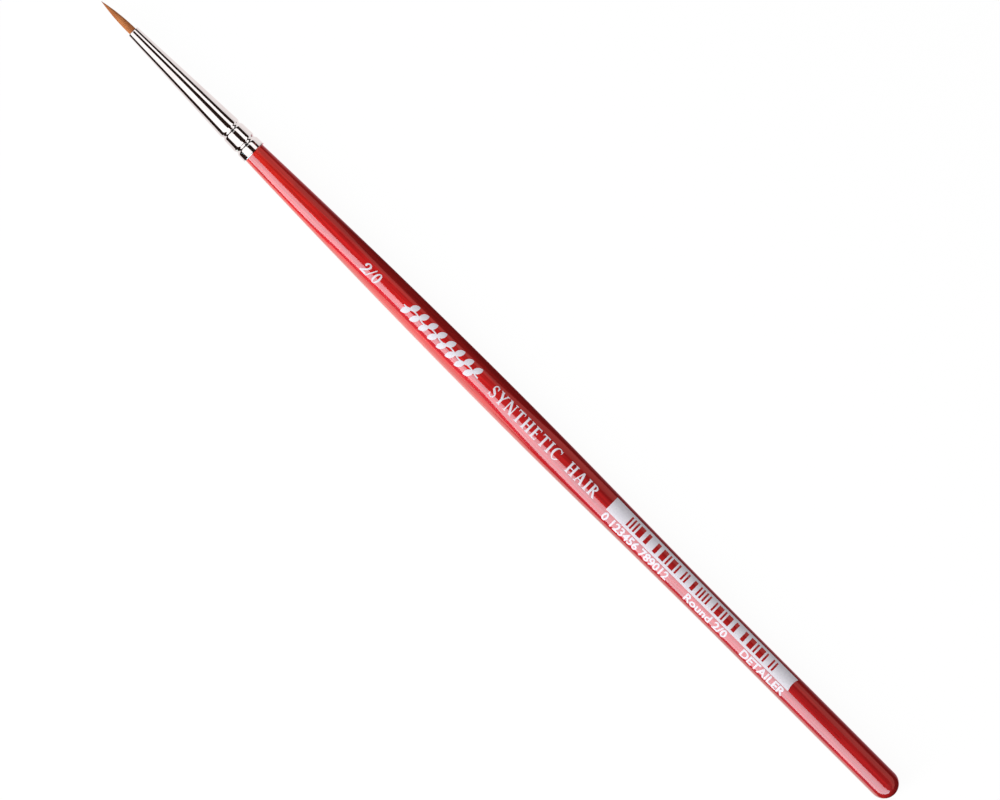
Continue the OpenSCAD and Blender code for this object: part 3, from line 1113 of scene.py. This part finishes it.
def end_cards():
    """A dim card beyond each end of the brush, and a small bright one beside the round end."""
    end_rows = [(0, -300, 300), (500, -300, 300)]
    for name, side, strength in (("point_end_card", 1, 0.03), ("round_end_card", -1, 0.05)):
        card(name, end_rows, even(strength), WHITE, upright_point(side * (FAR + 30)))
    glint = [(ROUND_END_X - 75, 14, 26), (ROUND_END_X - 12, 14, 26)]
    card("round_end_glint_card", glint, even(2.4), WHITE, glint_point)


def key_light():
    """A soft light that shades the brush but doesn't show in its gloss."""
    turn = math.radians(50)
    distance = 300
    lamp = bpy.data.lights.new("key", "AREA")
    lamp.shape = "RECTANGLE"
    lamp.size = 120 * MM
    lamp.size_y = 420 * MM
    lamp.energy = 0.93
    made = bpy.data.objects.new("key", lamp)
    made.location = (0, distance * math.sin(turn) * MM, (AXIS_Z + distance * math.cos(turn)) * MM)
    made.rotation_euler = (-turn, 0, 0)
    made.visible_glossy = False
    bpy.context.scene.collection.objects.link(made)


def floor():
    """A wide pale table top that only the camera sees; the cards stand for it in reflections."""
    half = 30.0                 # in metres
    drop = 0.0001
    grid = 8
    points = [(half * (2 * i / grid - 1), half * (2 * j / grid - 1), -drop)
              for i in range(grid + 1) for j in range(grid + 1)]
    wide = grid + 1
    faces = [(i * wide + j, (i + 1) * wide + j, (i + 1) * wide + j + 1, i * wide + j + 1)
             for i in range(grid) for j in range(grid)]
    material, tree, shader = new_material("pale_table", {
        "Base Color": rgb(0.06, 0.06, 0.06),
        "Roughness": 1.0,
        "Specular IOR Level": 0.0,
        "Emission Color": rgb(1.0, 1.0, 1.0),
        "Emission Strength": 0.955,
    })
    made = make_object("floor", points, faces, material)
    made.visible_glossy = False
    made.visible_diffuse = False


def world():
    """Near-white to the camera, mid-grey to soft shading and almost black to gloss."""
    made = bpy.data.worlds.new("studio")
    bpy.context.scene.world = made
    made.use_nodes = True
    tree = made.node_tree
    tree.nodes.clear()
    ray = add_node(tree, "ShaderNodeLightPath")
    soft, gloss, backdrop = rgb(0.39, 0.39, 0.39), rgb(0.022, 0.012, 0.010), rgb(0.99, 0.99, 0.99)
    lit = blend_colours(tree, ray.outputs["Is Glossy Ray"], soft, gloss)
    seen = blend_colours(tree, ray.outputs["Is Camera Ray"], lit, backdrop)
    sky = add_node(tree, "ShaderNodeBackground", links={"Color": seen})
    add_node(tree, "ShaderNodeOutputWorld", links={"Surface": sky.outputs["Background"]})


def camera():
    """Straight above the brush, turned so that it lies from the top left to the bottom right."""
    lens, sensor = 285.0, 36.0
    seen_width = 151.5          # width of the picture at the brush's axis
    shift_right, shift_down = 0.28, 0.42
    turn = math.radians(225.054)
    right = Vector((math.cos(turn), math.sin(turn), 0))
    up = Vector((-math.sin(turn), math.cos(turn), 0))
    centre = (cad_box[0] + cad_box[1]) / 2
    aim = Vector((centre.x, centre.y, AXIS_Z * MM)) + right * shift_right * MM - up * shift_down * MM
    eye = bpy.data.cameras.new("camera")
    eye.lens = lens
    eye.sensor_width = sensor
    eye.clip_end = 100.0
    made = bpy.data.objects.new("camera", eye)
    made.location = aim + Vector((0, 0, seen_width * lens / sensor * MM))
    made.rotation_euler = (0, 0, turn)
    bpy.context.scene.collection.objects.link(made)
    bpy.context.scene.camera = made


# ---- The scene ----

LACQUER = lacquer_material()
NICKEL = nickel_material()
HAIR = hair_material()
FOIL = foil_material()

finish_cad_node("wood_handle", wood_material())
finish_cad_node("binding_thread", thread_material())
finish_cad_node("root_resin", resin_material())
finish_cad_node("tenon_glue", glue_material())

lacquer_shell()
ferrule_tube()
hair_bundle()
size_mark()
leaf_line()
word_line()
striped_patch()
patch_lines()

camera()
floor()
world()
window_cards()
handle_wall_cards()
ferrule_cards()
table_cards()
end_cards()
key_light()
bpy.context.scene.view_settings.view_transform = "Standard"
bpy.context.scene.cycles.use_denoising = True
